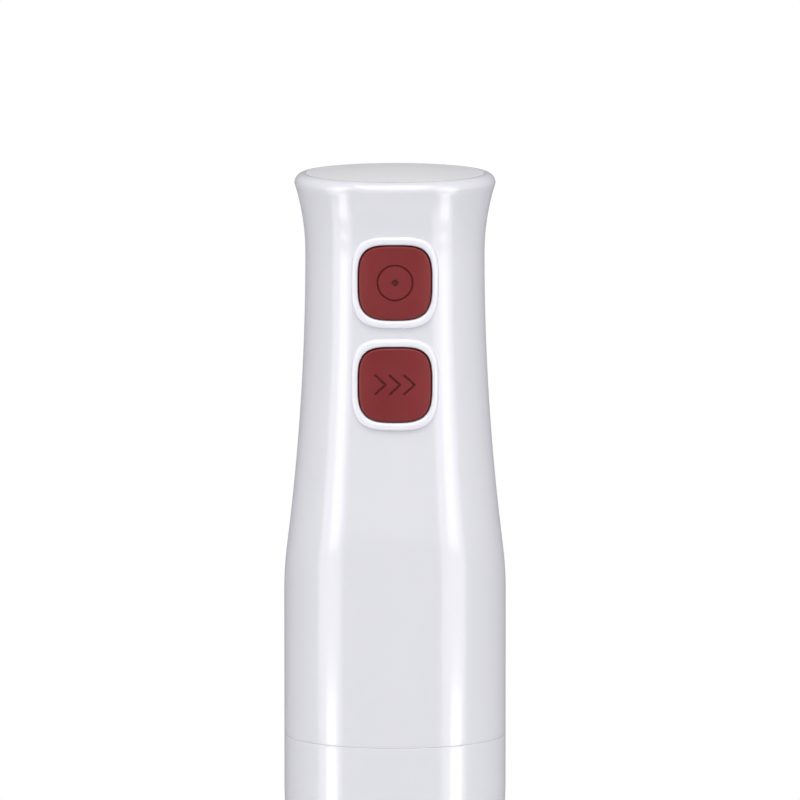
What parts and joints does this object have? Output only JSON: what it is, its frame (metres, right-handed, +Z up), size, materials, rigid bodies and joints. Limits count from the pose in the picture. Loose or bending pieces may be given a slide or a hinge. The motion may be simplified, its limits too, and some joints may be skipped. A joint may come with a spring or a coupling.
{
  "type": "immersion blender",
  "caption": "Two-button immersion blender with a waisted glossy handle, universal motor, quick-release foot, steel tube and bell guard with a two-wing blade.",
  "frame": {"origin": "centre of the bell's rim plane, on the axis of the tube and motor", "axes": "+Z up along the axis to the handle's top, -Y towards the side with the buttons, +X to the right of someone facing the buttons"},
  "size_m": [0.066, 0.066, 0.3954],
  "materials": {
    "white_body": "high gloss, moulded",
    "cap_grey": "satin gloss, moulded",
    "red_button": "satin, moulded with an engraved mark",
    "ivory_plastic": "matt, moulded",
    "dark_plastic": "matt, moulded",
    "circuit_board": "green solder mask",
    "capacitor_film": "yellow boxed film",
    "soft_rubber": "matt rubber",
    "spring_steel": "drawn wire and pressed plate",
    "screw_steel": "zinc-plated",
    "machined_steel": "ground",
    "laminated_steel": "stacked laminations",
    "enamelled_copper": "enamelled winding wire",
    "copper": "turned copper bars",
    "frame_aluminium": "die-cast",
    "brass": "pressed",
    "bronze": "sintered",
    "carbon": "pressed carbon",
    "lead_insulation": "wire insulation",
    "stainless": "brushed stainless",
    "blade_steel": "polished stainless"
  },
  "bodies": {
    "motor_unit": {"front_shell": "white_body", "rear_shell": "white_body", "top_cap": "cap_grey", "nose_housing": "white_body", "speed_bezel": "white_body", "turbo_bezel": "white_body", "button_carrier": "ivory_plastic", "control_board": "circuit_board", "speed_switch": "dark_plastic", "turbo_switch": "dark_plastic", "suppression_capacitor": "capacitor_film", "bridge_rectifier": "dark_plastic", "board_screws": "screw_steel", "speed_spring": "spring_steel", "turbo_spring": "spring_steel", "housing_screws": "screw_steel", "cord_grommet": "soft_rubber", "latch_block": "dark_plastic", "left_latch_spring": "spring_steel", "right_latch_spring": "spring_steel", "stator_core": "laminated_steel", "field_coils": "enamelled_copper", "upper_end_frame": "frame_aluminium", "lower_end_frame": "frame_aluminium", "motor_screws": "screw_steel", "upper_bearing": "machined_steel", "lower_bearing": "machined_steel", "brush_holders": "brass", "carbon_brushes": "carbon", "brush_springs": "spring_steel", "motor_mount_rings": "soft_rubber", "motor_leads": "lead_insulation"},
    "speed_button": {"speed_button_cap": "red_button", "speed_plunger": "ivory_plastic"},
    "turbo_button": {"turbo_button_cap": "red_button", "turbo_plunger": "ivory_plastic"},
    "left_release": {"left_release_cap": "red_button", "left_latch_plate": "spring_steel"},
    "right_release": {"right_release_cap": "red_button", "right_latch_plate": "spring_steel"},
    "rotor": {"motor_shaft": "machined_steel", "armature_core": "laminated_steel", "armature_windings": "enamelled_copper", "commutator": "copper", "cooling_fan": "dark_plastic", "drive_coupler": "dark_plastic"},
    "foot": {"foot_collar": "white_body", "foot_tube": "stainless", "bell_guard": "stainless", "bearing_carrier": "dark_plastic", "upper_bushing": "bronze", "lower_bushing": "bronze", "shaft_seal": "soft_rubber"},
    "blade_drive": {"drive_shaft": "machined_steel", "driven_cup": "dark_plastic", "blade": "blade_steel", "blade_hub": "machined_steel", "blade_nut": "machined_steel"}
  },
  "joints": [
    {"name": "speed_press", "type": "slide", "parent": "motor_unit", "child": "speed_button", "axis": [0, 1, 0], "range_m": [0, 0.0015], "stiffness_N_per_m": 1500, "springref_m": -0.001, "deforming": ["speed_spring"]},
    {"name": "turbo_press", "type": "slide", "parent": "motor_unit", "child": "turbo_button", "axis": [0, 1, 0], "range_m": [0, 0.0015], "stiffness_N_per_m": 1500, "springref_m": -0.001, "deforming": ["turbo_spring"]},
    {"name": "left_release_press", "type": "slide", "parent": "motor_unit", "child": "left_release", "axis": [1, 0, 0], "range_m": [0, 0.0024], "stiffness_N_per_m": 800, "springref_m": -0.003, "deforming": ["left_latch_spring"]},
    {"name": "right_release_press", "type": "slide", "parent": "motor_unit", "child": "right_release", "axis": [-1, 0, 0], "range_m": [0, 0.0024], "stiffness_N_per_m": 800, "springref_m": -0.003, "deforming": ["right_latch_spring"]},
    {"name": "motor_spin", "type": "hinge", "parent": "motor_unit", "child": "rotor", "pos_m": [0, 0, 0.24], "axis": [0, 0, 1], "continuous": true},
    {"name": "foot_pull", "type": "slide", "parent": "motor_unit", "child": "foot", "axis": [0, 0, -1], "range_m": [0, 0.056]},
    {"name": "blade_spin", "type": "hinge", "parent": "foot", "child": "blade_drive", "pos_m": [0, 0, 0.1], "axis": [0, 0, 1], "continuous": true}
  ],
  "couplings": [
    {"joint": "blade_spin", "follows": "motor_spin", "ratio": 1}
  ]
}
